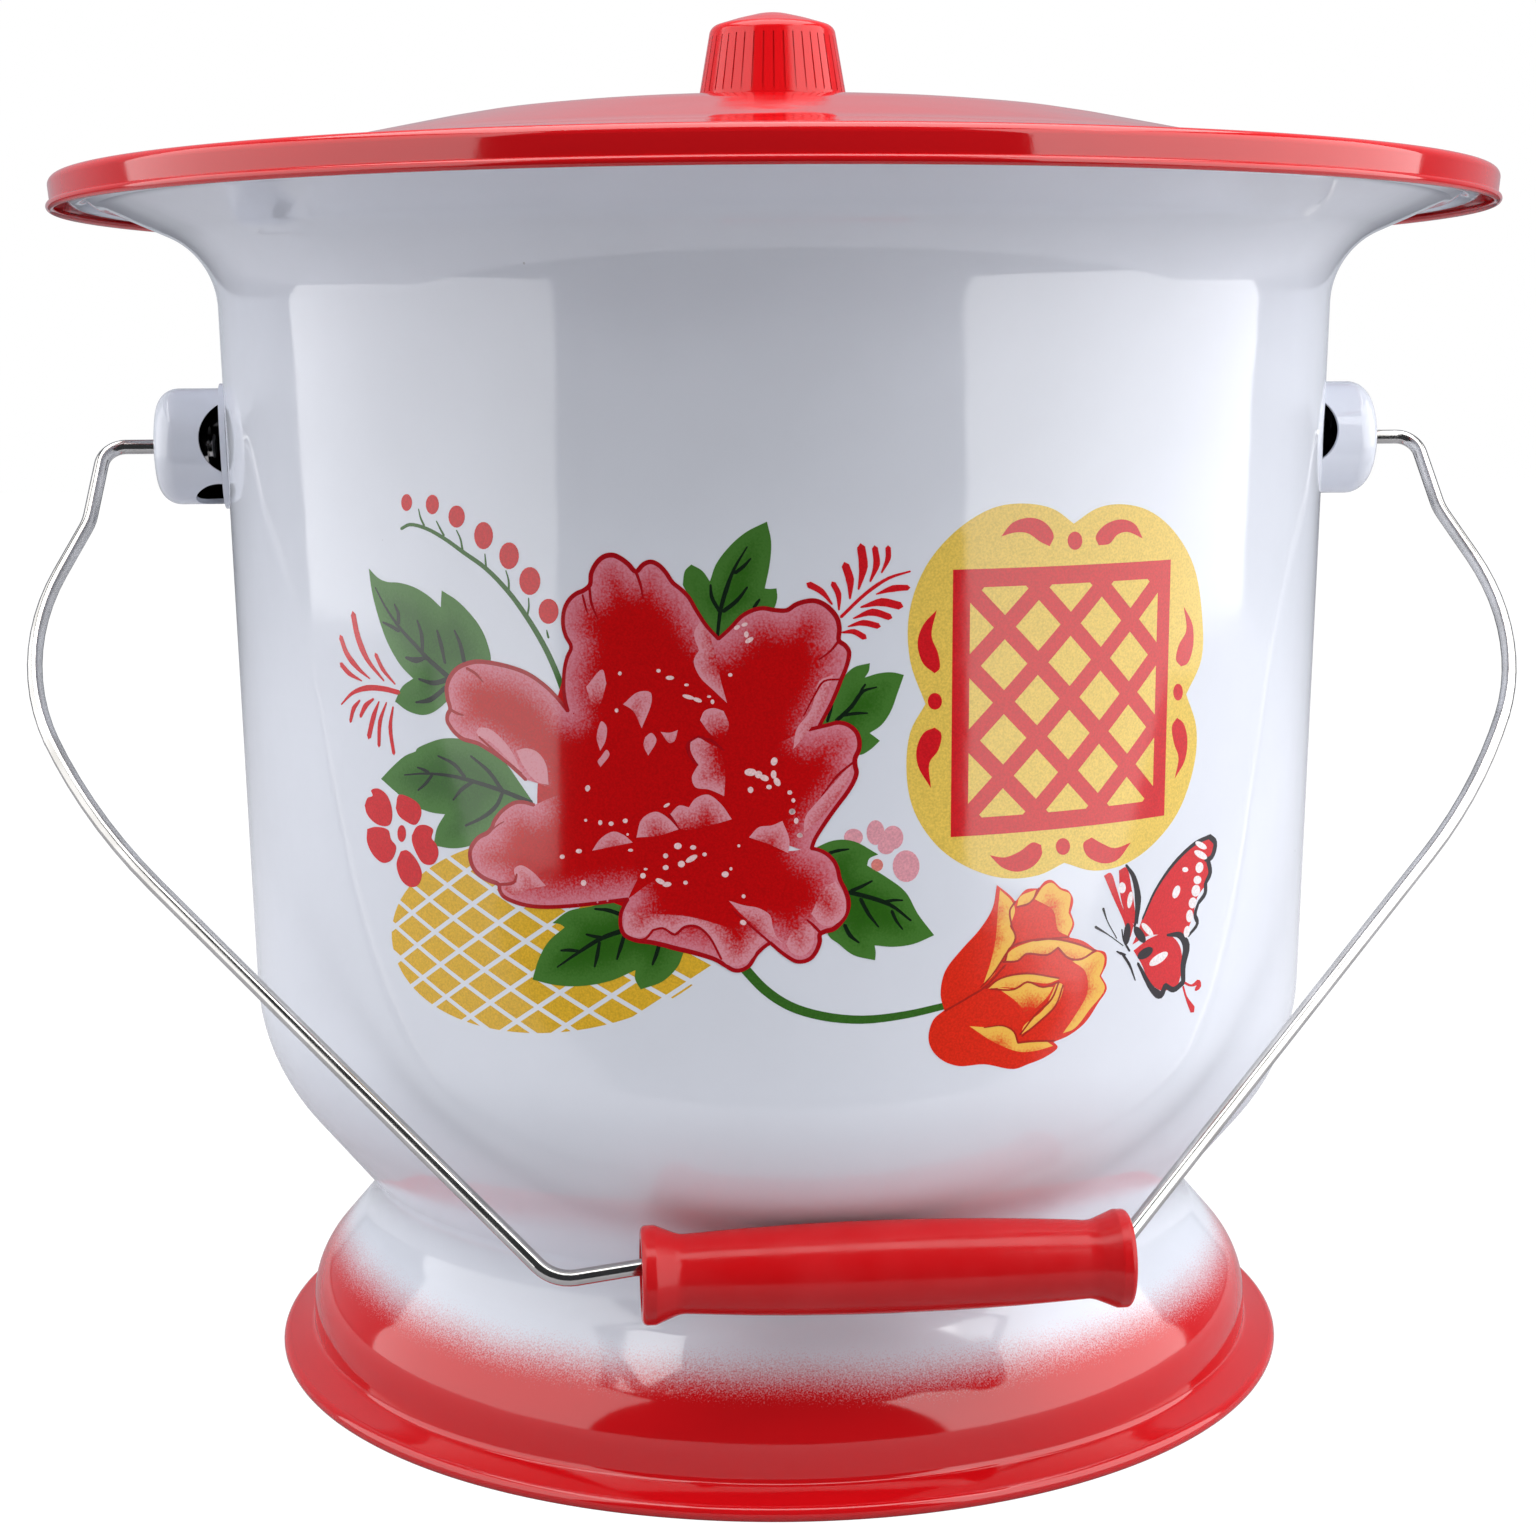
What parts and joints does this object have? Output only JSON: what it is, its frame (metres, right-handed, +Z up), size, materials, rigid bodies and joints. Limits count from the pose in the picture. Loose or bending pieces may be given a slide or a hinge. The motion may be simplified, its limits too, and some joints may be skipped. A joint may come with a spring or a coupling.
{
  "type": "slop jar",
  "caption": "Footed slop jar of enamelled steel: deep flared bowl, lift-off domed lid with a grooved knob, and a kinked wire bail with a loose grip.",
  "frame": {"origin": "middle of the flat ring on the underside of the foot", "axes": "+Z up along the pot's axis; +X along the bail's pivot line towards the right-hand ear; -Y towards the front, where the bail rests"},
  "size_m": [0.3046, 0.2952, 0.2818],
  "materials": {
    "white_enamel": "gloss enamel",
    "foot_enamel": "gloss enamel, sprayed fade to white at the waist",
    "lid_enamel": "gloss enamel",
    "knob_plastic": "gloss, fine vertical grooves",
    "grip_plastic": "satin",
    "bail_steel": "bright drawn wire",
    "fastener_steel": "zinc plated"
  },
  "bodies": {
    "pot": {"bowl": "white_enamel", "foot": "foot_enamel", "left_ear_plate": "white_enamel", "right_ear_plate": "white_enamel", "left_ear_cup": "white_enamel", "right_ear_cup": "white_enamel"},
    "bail": {"bail_wire": "bail_steel", "left_end_washer": "bail_steel", "right_end_washer": "bail_steel"},
    "grip": {"bail_grip": "grip_plastic"},
    "lid": {"lid_shell": "lid_enamel", "lid_knob": "knob_plastic", "knob_insert": "fastener_steel", "knob_washer": "fastener_steel", "knob_screw": "fastener_steel"}
  },
  "joints": [
    {"name": "bail_swing", "type": "hinge", "parent": "pot", "child": "bail", "pos_m": [0, 0, 0.1934], "axis": [-1, 0, 0], "range_deg": [0, 287.2]},
    {"name": "grip_turn", "type": "hinge", "parent": "bail", "child": "grip", "pos_m": [0.0097, -0.1072, 0.04797], "axis": [1, 0, 0], "continuous": true},
    {"name": "lid_lift", "type": "slide", "parent": "pot", "child": "lid", "axis": [0, 0, 1], "range_m": [0, 0.15]}
  ]
}
